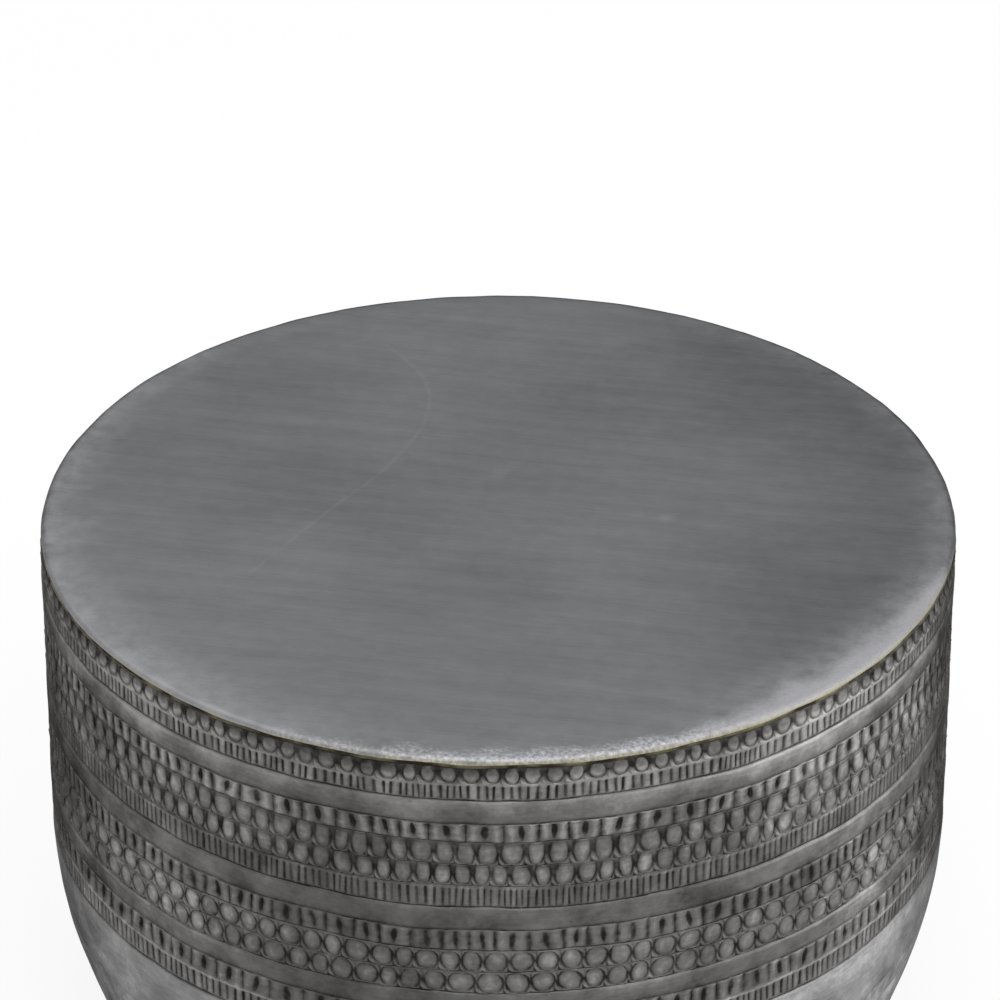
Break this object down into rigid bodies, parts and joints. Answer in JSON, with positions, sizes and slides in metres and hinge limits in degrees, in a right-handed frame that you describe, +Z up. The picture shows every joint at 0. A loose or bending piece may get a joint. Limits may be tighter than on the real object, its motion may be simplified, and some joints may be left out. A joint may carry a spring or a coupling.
{
  "type": "metal coffee table",
  "caption": "Round drum coffee table of chased sheet metal, with a plain brushed top, rows of stamped circles, bars and dashes between plain bands, and a foot that curves inwards.",
  "frame": {"origin": "on the floor, under the middle of the table", "axes": "+Z up along the drum's axis, -Y towards the viewer of the picture, +X to the viewer's right"},
  "size_m": [0.6999, 0.7, 0.45],
  "materials": {
    "brushed_top": "brushed sheet, waxed dark, burnished paler along the rim",
    "chased_wall": "chased sheet with dark wax left in the hollows",
    "braze": "dull brazed brass, stained dark",
    "bar_steel": "black lacquer over mill steel",
    "pad_rubber": "matt cut rubber"
  },
  "bodies": {
    "root": {"top_sheet": "brushed_top", "drum_wall": "chased_wall", "braze_bead": "braze", "rim_hoop": "bar_steel", "brace_long": "bar_steel", "brace_front": "bar_steel", "brace_back": "bar_steel", "base_ring": "bar_steel", "foot_pad_1": "pad_rubber", "foot_pad_2": "pad_rubber", "foot_pad_3": "pad_rubber", "foot_pad_4": "pad_rubber", "foot_pad_5": "pad_rubber", "foot_pad_6": "pad_rubber"}
  },
  "joints": []
}
